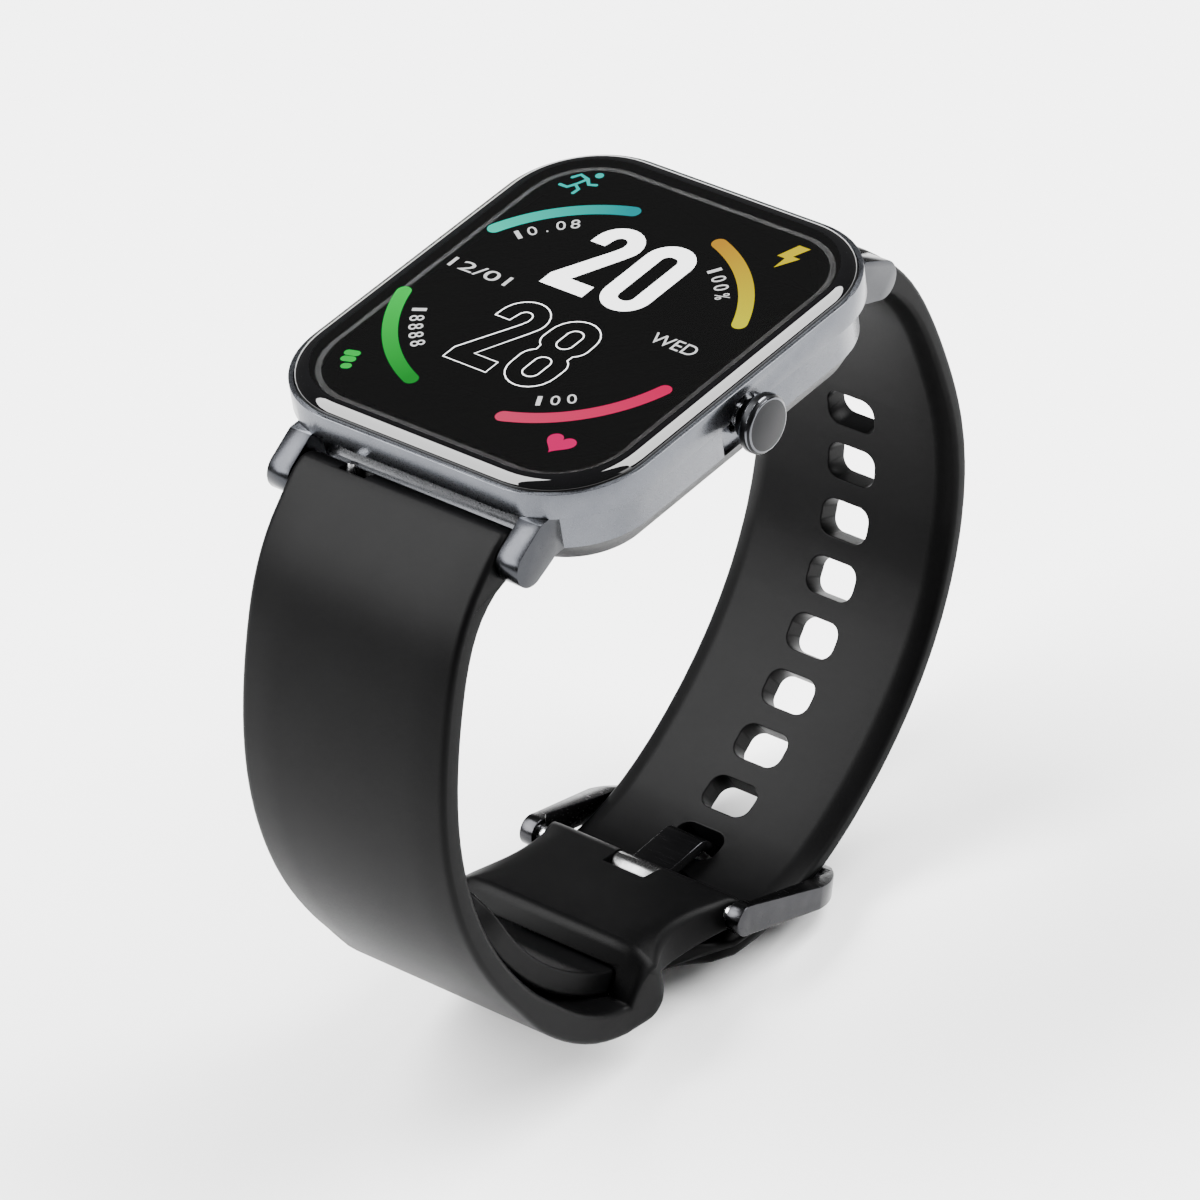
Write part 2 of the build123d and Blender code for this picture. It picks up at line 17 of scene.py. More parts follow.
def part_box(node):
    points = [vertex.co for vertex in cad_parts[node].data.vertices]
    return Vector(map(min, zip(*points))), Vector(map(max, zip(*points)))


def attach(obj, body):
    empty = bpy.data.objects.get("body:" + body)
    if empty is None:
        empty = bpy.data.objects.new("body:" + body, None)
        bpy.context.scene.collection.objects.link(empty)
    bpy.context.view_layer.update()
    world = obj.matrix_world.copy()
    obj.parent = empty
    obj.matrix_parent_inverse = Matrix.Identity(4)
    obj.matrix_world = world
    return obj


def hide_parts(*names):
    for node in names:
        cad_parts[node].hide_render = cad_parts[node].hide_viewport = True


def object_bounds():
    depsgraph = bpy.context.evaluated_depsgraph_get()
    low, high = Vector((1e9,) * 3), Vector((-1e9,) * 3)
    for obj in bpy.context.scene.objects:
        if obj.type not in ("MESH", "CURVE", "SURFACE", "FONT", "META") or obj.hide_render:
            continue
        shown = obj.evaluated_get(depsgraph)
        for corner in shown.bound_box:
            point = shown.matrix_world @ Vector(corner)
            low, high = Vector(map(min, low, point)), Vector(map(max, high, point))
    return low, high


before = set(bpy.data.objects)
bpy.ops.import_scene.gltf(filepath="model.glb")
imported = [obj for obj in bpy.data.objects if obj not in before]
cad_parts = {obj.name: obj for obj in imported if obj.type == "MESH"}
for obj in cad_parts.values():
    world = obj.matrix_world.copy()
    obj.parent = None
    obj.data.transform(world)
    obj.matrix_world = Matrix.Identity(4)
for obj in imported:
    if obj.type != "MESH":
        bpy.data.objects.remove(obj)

MM = 0.001
CAD_BOX = [list(corner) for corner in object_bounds()]
COLLECTION = bpy.context.scene.collection
print("CAD box, mm:", [[round(v / MM, 1) for v in corner] for corner in CAD_BOX])

# %% [markdown]
# ## Camera, floor and light
# A watch is small, so a long lens from over half a metre keeps its sides nearly parallel. The camera
# looks down over the corner between 3 and 6 o'clock. Black glass shows only what it mirrors, so two
# long soft boxes stand where its rounded edges, and not its flat top, will pick them up.

# %% Camera
RIGHT = Vector((0.76294, 0.63449, -0.12391))
DOWN = Vector((0.30702, -0.52429, -0.79427))
FORWARD = Vector((-0.56892, 0.56793, -0.5948))

camera = bpy.data.objects.new("camera", bpy.data.cameras.new("camera"))
COLLECTION.objects.link(camera)
turn = Matrix((RIGHT, -DOWN, -FORWARD)).transposed()
camera.matrix_world = Matrix.Translation(Vector((373.763, -375.423, 372.586)) * MM) @ turn.to_4x4()
camera.data.sensor_width = 36.0
camera.data.lens = 234.93
camera.data.clip_start = 0.01
bpy.context.scene.camera = camera


# %% Floor
def plain_material(name, colour, roughness):
    """A material with one Principled shader, and its shader node."""
    material = bpy.data.materials.new(name)
    material.use_nodes = True
    shader = material.node_tree.nodes["Principled BSDF"]
    shader.inputs["Base Color"].default_value = (*colour, 1)
    shader.inputs["Roughness"].default_value = roughness
    return material, shader


floor_z = CAD_BOX[0][2] - 0.2 * MM
floor_mesh = bpy.data.meshes.new("floor")
REACH = 3.0
floor_mesh.from_pydata([(x, y, floor_z) for x, y in
                        ((-REACH, -REACH), (REACH, -REACH), (REACH, REACH), (-REACH, REACH))],
                       [], [(0, 1, 2, 3)])
floor = bpy.data.objects.new("floor", floor_mesh)
COLLECTION.objects.link(floor)
floor_material, _ = plain_material("floor", (0.92, 0.92, 0.92), 0.7)
floor_mesh.materials.append(floor_material)


# %% Soft boxes
def soft_box(name, direction, along, width, length, watts, distance=0.8):
    """A rectangular light that looks at the watch, with its length along a given direction."""
    light = bpy.data.lights.new(name, "AREA")
    light.shape = "RECTANGLE"
    light.size = width
    light.size_y = length
    light.energy = watts
    lamp = bpy.data.objects.new(name, light)
    COLLECTION.objects.link(lamp)
    away = Vector(direction).normalized()
    long_side = Vector(along) - away * away.dot(Vector(along))
    long_side.normalize()
    sides = Matrix((long_side.cross(away), long_side, away)).transposed()
    lamp.matrix_world = Matrix.Translation(away * distance) @ sides.to_4x4()


soft_box("light_left", (-0.57, -0.40, 0.72), (0, -0.73, -0.36), 0.42, 1.10, 36.0)
soft_box("light_right", (0.38, 0.57, 0.73), (0.73, 0, -0.36), 0.42, 0.95, 32.0)
soft_box("light_side", (0.95, 0.2, 0.30), (0, 0, 1), 0.2, 0.4, 1.5, 0.9)
world = bpy.data.worlds.new("studio")
bpy.context.scene.world = world
world.use_nodes = True
world.node_tree.nodes["Background"].inputs["Color"].default_value = (1, 1, 1, 1)
world.node_tree.nodes["Background"].inputs["Strength"].default_value = 0.18

# %% [markdown]
# ## Finishes
# Nothing on a watch is one flat colour. Anodised metal has a bead-blasted grain, turned pins have
# rings, silicone has a fine matt skin, and a board has tracks. Each finish starts from one shader and
# gets its grain from noise in object coordinates, so the pattern stays on the part as it moves.


# %% Helpers that add grain to a finish
def wire(material, kind, **settings):
    """A new node in a material, with its properties set."""
    node = material.node_tree.nodes.new(kind)
    for key, value in settings.items():
        setattr(node, key, value)
    return node


def object_coordinates(material, stretch=(1, 1, 1), centre=(0, 0, 0)):
    """Coordinates in the part's own space, recentred and stretched."""
    links = material.node_tree.links
    source = wire(material, "ShaderNodeTexCoord")
    mapping = wire(material, "ShaderNodeMapping")
    mapping.inputs["Scale"].default_value = stretch
    mapping.inputs["Location"].default_value = [-c * s for c, s in zip(centre, stretch)]
    links.new(source.outputs["Object"], mapping.inputs["Vector"])
    return mapping.outputs["Vector"]


def noise(material, size, stretch=(1, 1, 1), detail=4.0):
    """Noise whose features are about `size` metres across."""
    texture = wire(material, "ShaderNodeTexNoise")
    texture.inputs["Scale"].default_value = 1 / size
    texture.inputs["Detail"].default_value = detail
    material.node_tree.links.new(object_coordinates(material, stretch), texture.inputs["Vector"])
    return texture.outputs["Fac"]


def spread(material, value, low, high):
    """Map a 0..1 value between two numbers or two colours."""
    ramp = wire(material, "ShaderNodeValToRGB")
    for element, end in zip(ramp.color_ramp.elements, (low, high)):
        element.color = (*end, 1) if isinstance(end, tuple) else (end, end, end, 1)
    ramp.color_ramp.elements[0].position = 0.3
    ramp.color_ramp.elements[1].position = 0.7
    material.node_tree.links.new(value, ramp.inputs["Fac"])
    return ramp.outputs["Color"]


def finish(name, colours, roughness, size, depth=0.0, metallic=0.0, stretch=(1, 1, 1),
           patch=2 * MM, coat=0.0):
    """A finish with mottled colour and roughness and a fine bumped grain."""
    material, shader = plain_material(name, colours[0], roughness[0])
    links = material.node_tree.links
    shader.inputs["Metallic"].default_value = metallic
    shader.inputs["Coat Weight"].default_value = coat
    mottle = noise(material, patch, stretch)
    links.new(spread(material, mottle, *colours), shader.inputs["Base Color"])
    links.new(spread(material, noise(material, size, stretch), *roughness), shader.inputs["Roughness"])
    if depth:
        bump = wire(material, "ShaderNodeBump")
        bump.inputs["Distance"].default_value = depth
        bump.inputs["Strength"].default_value = 1.0
        links.new(noise(material, size, stretch, 2.0), bump.inputs["Height"])
        links.new(bump.outputs["Normal"], shader.inputs["Normal"])
    return material, shader


# %% Metals
gunmetal, _ = finish("gunmetal", ((0.076, 0.080, 0.090), (0.088, 0.092, 0.102)), (0.25, 0.33),
                     0.12 * MM, 0.004 * MM, 1.0)
polished_edge, _ = finish("polished_edge", ((0.06, 0.062, 0.068), (0.09, 0.093, 0.10)),
                          (0.10, 0.16), 0.5 * MM, 0.0, 1.0)
# The lugs are a little smoother than the case and coloured much darker: the dark colour is painted
# shade, standing in for the dark surroundings they mirror
lug_painted_shade, _ = finish("lug_painted_shade", ((0.022, 0.023, 0.026), (0.030, 0.031, 0.034)), (0.20, 0.28),
                      0.12 * MM, 0.003 * MM, 1.0)
crown_metal, _ = finish("crown_metal", ((0.009, 0.0092, 0.0100), (0.012, 0.0122, 0.0130)),
                        (0.34, 0.42), 0.10 * MM, 0.004 * MM, 1.0)
buckle_metal, _ = finish("buckle_metal", ((0.022, 0.022, 0.024), (0.030, 0.030, 0.032)),
                         (0.20, 0.28), 0.2 * MM, 0.003 * MM, 1.0, stretch=(0.15, 1, 1))
bright_steel, _ = finish("bright_steel", ((0.52, 0.52, 0.53), (0.62, 0.62, 0.63)), (0.18, 0.3),
                         0.06 * MM, 0.003 * MM, 1.0, stretch=(3, 0.2, 0.2))
barrel_steel, _ = finish("barrel_steel", ((0.13, 0.13, 0.132), (0.17, 0.17, 0.172)), (0.2, 0.3),
                         0.06 * MM, 0.003 * MM, 1.0, stretch=(3, 0.2, 0.2))
shield_metal, _ = finish("shield_metal", ((0.55, 0.55, 0.54), (0.66, 0.66, 0.65)), (0.28, 0.4),
                         0.3 * MM, 0.01 * MM, 1.0)
contact_gold, _ = finish("contact_gold", ((0.78, 0.52, 0.20), (0.88, 0.62, 0.28)), (0.18, 0.28),
                         0.2 * MM, 0.004 * MM, 1.0)

# %% Rubber and plastics
silicone, silicone_shader = finish("silicone", ((0.0012, 0.0012, 0.0013), (0.0018, 0.0018, 0.0019)),
                                   (0.36, 0.46), 0.09 * MM, 0.006 * MM, patch=4 * MM)
silicone_shader.inputs["Specular IOR Level"].default_value = 0.045
seal_rubber, _ = finish("seal_rubber", ((0.008, 0.008, 0.008), (0.012, 0.012, 0.012)),
                        (0.55, 0.7), 0.1 * MM, 0.01 * MM)
rear_plastic, _ = finish("rear_plastic", ((0.008, 0.008, 0.009), (0.011, 0.011, 0.012)),
                         (0.42, 0.54), 0.15 * MM, 0.012 * MM)
chassis_plastic, _ = finish("chassis_plastic", ((0.045, 0.045, 0.05), (0.06, 0.06, 0.065)),
                            (0.45, 0.6), 0.2 * MM, 0.012 * MM)
sensor_plastic, _ = finish("sensor_plastic", ((0.006, 0.006, 0.007), (0.010, 0.008, 0.010)),
                           (0.04, 0.08), 3 * MM, coat=0.6)
display_black, _ = finish("display_black", ((0.0015, 0.0015, 0.002), (0.0025, 0.0025, 0.003)),
                          (0.10, 0.16), 3 * MM)
battery_wrap, _ = finish("battery_wrap", ((0.45, 0.46, 0.48), (0.55, 0.56, 0.58)), (0.25, 0.45),
                         0.8 * MM, 0.05 * MM, 0.6)
flex_film, _ = finish("flex_film", ((0.42, 0.18, 0.03), (0.55, 0.27, 0.05)), (0.22, 0.34),
                      0.4 * MM, 0.004 * MM, stretch=(4, 0.3, 0.3))
circuit_board, _ = finish("circuit_board", ((0.010, 0.055, 0.028), (0.018, 0.11, 0.05)),
                          (0.25, 0.45), 0.35 * MM, 0.02 * MM, stretch=(0.4, 2.2, 1), patch=0.5 * MM)

# %% Glass
cover_glass, glass_shader = finish("cover_glass", ((0.93, 0.94, 0.95), (0.95, 0.955, 0.96)),
                                   (0.0, 0.02), 6 * MM)
glass_shader.inputs["Transmission Weight"].default_value = 1.0
glass_shader.inputs["IOR"].default_value = 1.5
black_glass, _ = finish("black_glass", ((0.0010, 0.0010, 0.0012), (0.0014, 0.0014, 0.0016)),
                        (0.0, 0.02), 6 * MM)

# %% Give the CAD parts their finishes
NODE_FINISH = {
    "glass_gasket": seal_rubber, "display_panel": display_black, "display_flex": flex_film,
    "inner_chassis": chassis_plastic, "battery": battery_wrap, "main_board": circuit_board,
    "shield_can": shield_metal, "vibration_motor": bright_steel, "crown_switch": shield_metal,
    "rear_gasket": seal_rubber, "rear_screws": bright_steel, "charging_pins": contact_gold,
    "sensor_window": sensor_plastic, "sensor_board": circuit_board, "crown_stem": bright_steel,
    "crown_clip": bright_steel, "crown_seal": seal_rubber, "crown_bushing": polished_edge,
    "lower_bar_tube": bright_steel, "lower_bar_release": bright_steel,
    "lower_bar_tip": bright_steel, "upper_bar_tube": bright_steel,
    "upper_bar_release": bright_steel, "upper_bar_tip": bright_steel, "buckle_pin": bright_steel,
    "crown_cap": crown_metal, "rear_cover": rear_plastic, "case_frame": gunmetal,
    "buckle_frame": buckle_metal, "buckle_tongue": buckle_metal, "strap_buckle_half": silicone,
    "strap_hole_half": silicone, "glass_lens": cover_glass,
}
for node, material in NODE_FINISH.items():
    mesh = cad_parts[node].data
    mesh.materials.clear()
    mesh.materials.append(material)
print("finishes given to", len(NODE_FINISH), "of", len(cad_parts), "CAD parts")

# %% [markdown]
# ## Rounded metal edges
# A machined edge is never perfectly sharp: it has a small bevel that catches a line of light. The CAD
# part can't be changed. The CAD part is left as it is and hidden: a copy is welded, its flat faces
# are joined, and a bevel is put on what is left of the sharp edges. The copy stands in for the part
# and rides on the same body.


# %% Helpers that make and place a piece
def piece(name, mesh, body, slot, *materials, sharp=35.0):
    """Link a finished mesh as a piece that rides on a CAD body."""
    made = bpy.data.objects.new(name, mesh)
    COLLECTION.objects.link(made)
    for material in materials:
        mesh.materials.append(material)
    for face in mesh.polygons:
        face.use_smooth = True
    mesh.set_sharp_from_angle(angle=math.radians(sharp))
    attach(made, body)
    print(f"{name}: {len(mesh.polygons)} faces")
    return made


def bevelled(shape, width, steps, pick, material=-1):
    """Bevel the edges of a bmesh that `pick` chooses."""
    edges = [e for e in shape.edges if len(e.link_faces) == 2 and pick(e)]
    bmesh.ops.bevel(shape, geom=edges, offset=width, offset_type="OFFSET", segments=steps,
                    profile=0.5, affect="EDGES", clamp_overlap=True, material=material,
                    loop_slide=True)


def softened(node, body, slot, width, base, edge, steps=2):
    """A copy of a CAD part with its sharp edges bevelled."""
    shape = bmesh.new()
    shape.from_mesh(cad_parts[node].data)
    bmesh.ops.remove_doubles(shape, verts=shape.verts, dist=0.002 * MM)
    bmesh.ops.dissolve_limit(shape, angle_limit=math.radians(0.6), verts=shape.verts,
                             edges=shape.edges)
    sharp = math.radians(30)
    bevelled(shape, width, steps, lambda e: e.calc_face_angle(0) > sharp, material=1)
    mesh = bpy.data.meshes.new(node + "_soft")
    shape.to_mesh(mesh)
    shape.free()
    made = piece(node + "_soft", mesh, body, slot, base, edge)
    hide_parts(node)
    return made


def repaint(made, material, pick):
    """Give another finish to the faces that `pick` chooses by their middle, in millimetres."""
    made.data.materials.append(material)
    index = len(made.data.materials) - 1
    for face in made.data.polygons:
        if pick(*(face.center / MM)):
            face.material_index = index


# %% Round the case, crown, cover and buckle
LUG_FROM = 21.15  # the lugs stand past the ends of the case
PIN = (-2.9, -47.5)  # the buckle pin, in the yz plane
BARREL_REACH = 1.45  # the barrel of the tongue lies within this of the pin

case = softened("case_frame", "watch", "gunmetal", 0.13 * MM, gunmetal, polished_edge)
# The lugs of the one-piece case take the darker colour: painted shade
repaint(case, lug_painted_shade, lambda x, y, z: abs(y) > LUG_FROM)
softened("crown_cap", "crown", "crown_metal", 0.10 * MM, crown_metal, polished_edge)
softened("rear_cover", "watch", "rear_plastic", 0.08 * MM, rear_plastic, rear_plastic)
softened("buckle_frame", "buckle", "buckle_metal", 0.25 * MM, buckle_metal, buckle_metal, 3)
tongue = softened("buckle_tongue", "tongue", "buckle_metal", 0.15 * MM, buckle_metal, buckle_metal)
repaint(tongue, barrel_steel,
        lambda x, y, z: math.hypot(y - PIN[0], z - PIN[1]) < BARREL_REACH)

# %% [markdown]
# ## The glass
# The cover glass has a flat top whose rim rolls down into the metal. One outline, a rectangle with
# round corners, is drawn again and again, each time a little further in and a little higher, and the
# rings are joined. That gives a true curve for the light to run along.


# %% Rings of a rounded rectangle
def rounded_ring(half_x, half_y, corner, z, steps=14):
    """Points round a rectangle with round corners."""
    points = []
    for quarter in range(4):
        sx = (1, -1, -1, 1)[quarter]
        sy = (1, 1, -1, -1)[quarter]
        for k in range(steps + 1):
            a = math.radians(90 * (quarter + k / steps))
            points.append((sx * (half_x - corner) + corner * math.cos(a),
                           sy * (half_y - corner) + corner * math.sin(a), z))
    return points


def ring_solid(rings):
    """A closed mesh through a stack of rings with the same number of points."""
    count = len(rings[0])
    points = [p for ring in rings for p in ring]
    faces = []
    for r in range(len(rings) - 1):
        for k in range(count):
            j = (k + 1) % count
            faces.append((r * count + k, r * count + j, (r + 1) * count + j, (r + 1) * count + k))
    faces.append(tuple(reversed(range(count))))
    faces.append(tuple(range((len(rings) - 1) * count, len(rings) * count)))
    return points, faces


# %% Cover glass
glass_low, glass_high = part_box("glass_lens")
GLASS_CORNER = 8.15 * MM
GLASS_ROLL = 1.5 * MM  # width of the curved rim
GLASS_DROP = 0.78 * MM  # height of the curved rim
FLAT_TOP = 0.004 * MM  # how far a face of the flat top may lie below the highest point

profile = [(0.06 * MM, glass_low.z), (0.0, glass_low.z + 0.05 * MM),
           (0.0, glass_high.z - GLASS_DROP)]
for k in range(1, 15):
    t = math.radians(90 * k / 14)
    profile.append((GLASS_ROLL * (1 - math.cos(t)),
                    glass_high.z - GLASS_DROP * (1 - math.sin(t))))
profile.append((GLASS_ROLL + 0.15 * MM, glass_high.z))
rings = [rounded_ring(glass_high.x - inset, glass_high.y - inset, GLASS_CORNER - inset, z)
         for inset, z in profile]
points, faces = ring_solid(rings)
glass_mesh = bpy.data.meshes.new("cover_glass")
glass_mesh.from_pydata(points, [], faces)
cover = piece("cover_glass", glass_mesh, "watch", "cover_glass", cover_glass, black_glass,
              seal_rubber, sharp=50)
# Only the flat top is clear: the rim is glossy black, the side and the back a matt black print
for face in glass_mesh.polygons:
    drop = glass_high.z - face.center.z
    face.material_index = 0 if drop < FLAT_TOP else 1 if drop < GLASS_DROP else 2
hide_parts("glass_lens")

# %% [markdown]
# ## The lit dial
# The dial is the picture that the display makes: big figures for the hour and the minutes, four
# coloured progress arcs and a small sign beside each. Thin bars of light lie just inside the glass,
# in front of its black back.
# The arcs and the line signs are all strokes with round ends, so one node tree makes them all from
# plain polylines, and it also stores how far along the stroke each point is, for the colour to fade.

# %% Colours of light
DIAL_Z = glass_low.z + 0.012 * MM
DIAL_THICK = 0.016 * MM


def lit(name, start, end=None, strength=1.0):
    """Light of one colour, or one that fades along a stroke."""
    material, shader = plain_material(name, (0, 0, 0), 0.4)
    shader.inputs["Specular IOR Level"].default_value = 0.0
    shader.inputs["Emission Color"].default_value = (*start, 1)
    shader.inputs["Emission Strength"].default_value = strength
    if end:
        along = wire(material, "ShaderNodeAttribute", attribute_name="along")
        blend = wire(material, "ShaderNodeValToRGB")
        blend.color_ramp.elements[0].color = (*start, 1)
        blend.color_ramp.elements[1].color = (*end, 1)
        material.node_tree.links.new(along.outputs["Fac"], blend.inputs["Fac"])
        material.node_tree.links.new(blend.outputs["Color"], shader.inputs["Emission Color"])
    return material


lit_white = lit("lit_white", (1.0, 1.0, 1.0), strength=4.0)
lit_text = lit("lit_text", (1.0, 1.0, 1.0), strength=1.4)
lit_cyan = lit("lit_cyan", (0.0, 1.0, 0.72), (0.0, 0.40, 0.44))
lit_yellow = lit("lit_yellow", (0.80, 0.38, 0.02), (1.0, 0.92, 0.0))
lit_green = lit("lit_green", (0.0, 0.90, 0.09), (0.0, 0.36, 0.03))
lit_pink = lit("lit_pink", (1.0, 0.06, 0.18), (1.0, 0.0, 0.13))
lit_red = lit("lit_red", (1.0, 0.0, 0.18))
lit_teal = lit("lit_teal", (0.0, 0.80, 0.70))
lit_gold = lit("lit_gold", (1.0, 0.78, 0.0))
lit_leaf = lit("lit_leaf", (0.0, 0.80, 0.08))


# %% Node tree for a stroke with round ends
def new_tree(name, sockets):
    """An empty geometry tree with named inputs."""
    tree = bpy.data.node_groups.new(name, "GeometryNodeTree")
    tree.interface.new_socket("Geometry", in_out="INPUT", socket_type="NodeSocketGeometry")
    for label, kind in sockets:
        tree.interface.new_socket(label, in_out="INPUT", socket_type=kind)
    tree.interface.new_socket("Geometry", in_out="OUTPUT", socket_type="NodeSocketGeometry")
    return tree, tree.nodes.new("NodeGroupInput"), tree.nodes.new("NodeGroupOutput")


def node_in(tree, kind, links, **settings):
    """Add a node, set its properties, and link its inputs."""
    node = tree.nodes.new(kind)
    for key, value in settings.items():
        setattr(node, key, value)
    for key, source in links.items():
        if isinstance(source, bpy.types.NodeSocket):
            tree.links.new(source, node.inputs[key])
        else:
            node.inputs[key].default_value = source
    return node


stroke_tree, given, result = new_tree("stroke", [
    ("Width", "NodeSocketFloat"), ("Thickness", "NodeSocketFloat"), ("Finish", "NodeSocketMaterial")])
path = node_in(stroke_tree, "GeometryNodeMeshToCurve", {"Mesh": given.outputs["Geometry"]})
upright = node_in(stroke_tree, "GeometryNodeSetCurveNormal", {"Curve": path.outputs[0]})
upright.mode = "Z_UP"
factor = node_in(stroke_tree, "GeometryNodeSplineParameter", {})
marked = node_in(stroke_tree, "GeometryNodeStoreNamedAttribute",
                 {"Geometry": upright.outputs[0], "Name": "along", "Value": factor.outputs["Factor"]},
                 data_type="FLOAT", domain="POINT")
section = node_in(stroke_tree, "GeometryNodeCurvePrimitiveQuadrilateral",
                  {"Width": given.outputs["Width"], "Height": given.outputs["Thickness"]})
bar = node_in(stroke_tree, "GeometryNodeCurveToMesh",
              {"Curve": marked.outputs[0], "Profile Curve": section.outputs[0], "Fill Caps": True})
half = node_in(stroke_tree, "ShaderNodeMath", {0: given.outputs["Width"], 1: 0.5},
               operation="MULTIPLY")
cap = node_in(stroke_tree, "GeometryNodeMeshCylinder",
              {"Vertices": 24, "Radius": half.outputs[0], "Depth": given.outputs["Thickness"]})
ends = node_in(stroke_tree, "GeometryNodeCurveEndpointSelection", {})
caps = node_in(stroke_tree, "GeometryNodeInstanceOnPoints",
               {"Points": marked.outputs[0], "Selection": ends.outputs[0],
                "Instance": cap.outputs["Mesh"]})
joined = node_in(stroke_tree, "GeometryNodeJoinGeometry", {"Geometry": bar.outputs[0]})
stroke_tree.links.new(caps.outputs[0], joined.inputs[0])
real = node_in(stroke_tree, "GeometryNodeRealizeInstances", {"Geometry": joined.outputs[0]})
painted = node_in(stroke_tree, "GeometryNodeSetMaterial",
                  {"Geometry": real.outputs[0], "Material": given.outputs["Finish"]})
stroke_tree.links.new(painted.outputs[0], result.inputs[0])


# %% Run modifiers, a tree or a curve and keep the mesh
def baked(name, data, prepare=lambda holder: []):
    """The mesh that a mesh or curve becomes, after `prepare` has added its modifiers."""
    holder = bpy.data.objects.new(name + "_seed", data)
    COLLECTION.objects.link(holder)
    spare = [holder] + prepare(holder)
    graph = bpy.context.evaluated_depsgraph_get()
    mesh = bpy.data.meshes.new_from_object(holder.evaluated_get(graph))
    mesh.name = name
    for thing in spare:
        bpy.data.objects.remove(thing)
    return mesh


def grown(name, seed_mesh, tree, values):
    """The mesh that a tree makes from a seed mesh."""
    def prepare(holder):
        modifier = holder.modifiers.new("grow", "NODES")
        modifier.node_group = tree
        for item in tree.interface.items_tree:
            if item.in_out == "INPUT" and item.name in values:
                modifier[item.identifier] = values[item.name]
        return []
    return baked(name, seed_mesh, prepare)


def polylines(name, lines, z):
    """A mesh of edges through each list of (x, y) points, in millimetres."""
    points, edges = [], []
    for line in lines:
        first = len(points)
        points += [(x * MM, y * MM, z) for x, y in line]
        edges += [(first + k, first + k + 1) for k in range(len(line) - 1)]
    mesh = bpy.data.meshes.new(name)
    mesh.from_pydata(points, edges, [])
    return mesh


def stroke(name, lines, width, material):
    """Lit strokes with round ends, just inside the glass."""
    mesh = grown(name, polylines(name, lines, DIAL_Z + DIAL_THICK / 2), stroke_tree,
                 {"Width": width * MM, "Thickness": DIAL_THICK, "Finish": material})
    return piece(name, mesh, "watch", "display", sharp=30)


# %% Four progress arcs
DIAL_X = -1.1
DIAL_Y = 0.25
ARC_RADIUS = 14.75
ARC_WIDTH = 1.35


def swept(centre, radius, start, end, steps=12):
    """Points along an arc between two angles in degrees."""
    angles = [math.radians(start + (end - start) * k / steps) for k in range(steps + 1)]
    return [(centre[0] + radius * math.cos(a), centre[1] + radius * math.sin(a)) for a in angles]


for name, start, end, colour in (
        ("arc_distance", 154.5, 108, lit_cyan), ("arc_charge", 71, 23, lit_yellow),
        ("arc_steps", 198, 249, lit_green), ("arc_pulse", 289, 342, lit_pink)):
    stroke(name, [swept((DIAL_X, DIAL_Y), ARC_RADIUS, start, end, 40)], ARC_WIDTH, colour)


# %% Figures
def figures(name, text, box):
    """Lit figures that fill a box (low x, low y, high x, high y) in millimetres."""
    curve = bpy.data.curves.new(name, "FONT")
    curve.body = text
    curve.extrude = 0.01
    mesh = baked(name, curve)
    mesh.materials.clear()
    spots = np.array([v.co for v in mesh.vertices])
    low, high = spots.min(0), spots.max(0)
    goal_low = np.array([box[0] * MM, box[1] * MM, DIAL_Z])
    goal_high = np.array([box[2] * MM, box[3] * MM, DIAL_Z + DIAL_THICK])
    spots = goal_low + (spots - low) / (high - low) * (goal_high - goal_low)
    mesh.vertices.foreach_set("co", spots.astype(np.float32).ravel())
    return mesh


def show_figures(name, text, box):
    """A piece of small figures."""
    return piece(name, figures(name, text, box), "watch", "display", lit_text, sharp=30)


# %% Bold narrow figures for the hour and the minutes
FIGURE_WIDE = 4.75
FIGURE_TALL = 9.75


def racetrack(x, y, wide, tall, radius, steps=10):
    """A rectangle with round corners, from its low corner."""
    spots = rounded_ring(wide / 2, tall / 2, radius, 0, steps)
    return [(x + wide / 2 + px, y + tall / 2 + py) for px, py, _ in spots]


HALF = FIGURE_WIDE / 2
STEM = 1.6  # width of a figure's strokes
FIGURES = {
    "0": [racetrack(0, 0, FIGURE_WIDE, FIGURE_TALL + 0.1, 2.3),
          racetrack(STEM, 1.45, FIGURE_WIDE - 2 * STEM, FIGURE_TALL - 2.9, 0.68)],
    "8": [swept((HALF, 7.4), 2.35, 180, 0) + swept((3.35, 6.55), 1.4, 0, -58, 6)
          + swept((3.25, 3.45), 1.5, 58, 0, 6) + swept((HALF, 2.35), 2.35, 0, -180)
          + swept((1.5, 3.45), 1.5, 180, 122, 6) + swept((1.4, 6.55), 1.4, 238, 180, 6),
          racetrack(STEM, 5.75, 1.55, 2.65, 0.75), racetrack(STEM, 1.4, 1.55, 2.85, 0.75)],
    "2": [[(0, 6.7)] + swept((HALF, 7.4), 2.35, 180, 0) + [(4.65, 6.9), (4.25, 6.0), (2.05, 1.6)]
          + [(4.6, 1.6), (4.6, 0), (0, 0), (0, 1.5), (2.75, 6.55), (3.05, 7.25)]
          + swept((HALF, 7.65), 0.68, 0, 180, 8) + [(1.52, 6.7)]],
}


def placed(text, spots):
    """The outlines of a text's figures, each at its own low corner."""
    return [[(x0 + x, y0 + y) for x, y in loop]
            for letter, (x0, y0) in zip(text, spots) for loop in FIGURES[letter]]


def add_loop(curve, loop):
    """Add a closed outline to a flat curve."""
    spline = curve.splines.new("POLY")
    spline.points.add(len(loop) - 1)
    for point, (x, y) in zip(spline.points, loop):
        point.co = (x, y, 0, 1)
    spline.use_cyclic_u = True


def solid_figures(name, text, spots):
    """Filled figures from their outlines."""
    curve = bpy.data.curves.new(name, "CURVE")
    curve.dimensions = "2D"
    curve.fill_mode = "BOTH"
    curve.extrude = DIAL_THICK / 2 / MM
    for loop in placed(text, spots):
        add_loop(curve, loop)
    mesh = baked(name, curve)
    mesh.materials.clear()
    mesh.transform(Matrix.Translation((0, 0, DIAL_Z + DIAL_THICK / 2)) @ Matrix.Scale(MM, 4))
    return piece(name, mesh, "watch", "display", lit_white, sharp=30)


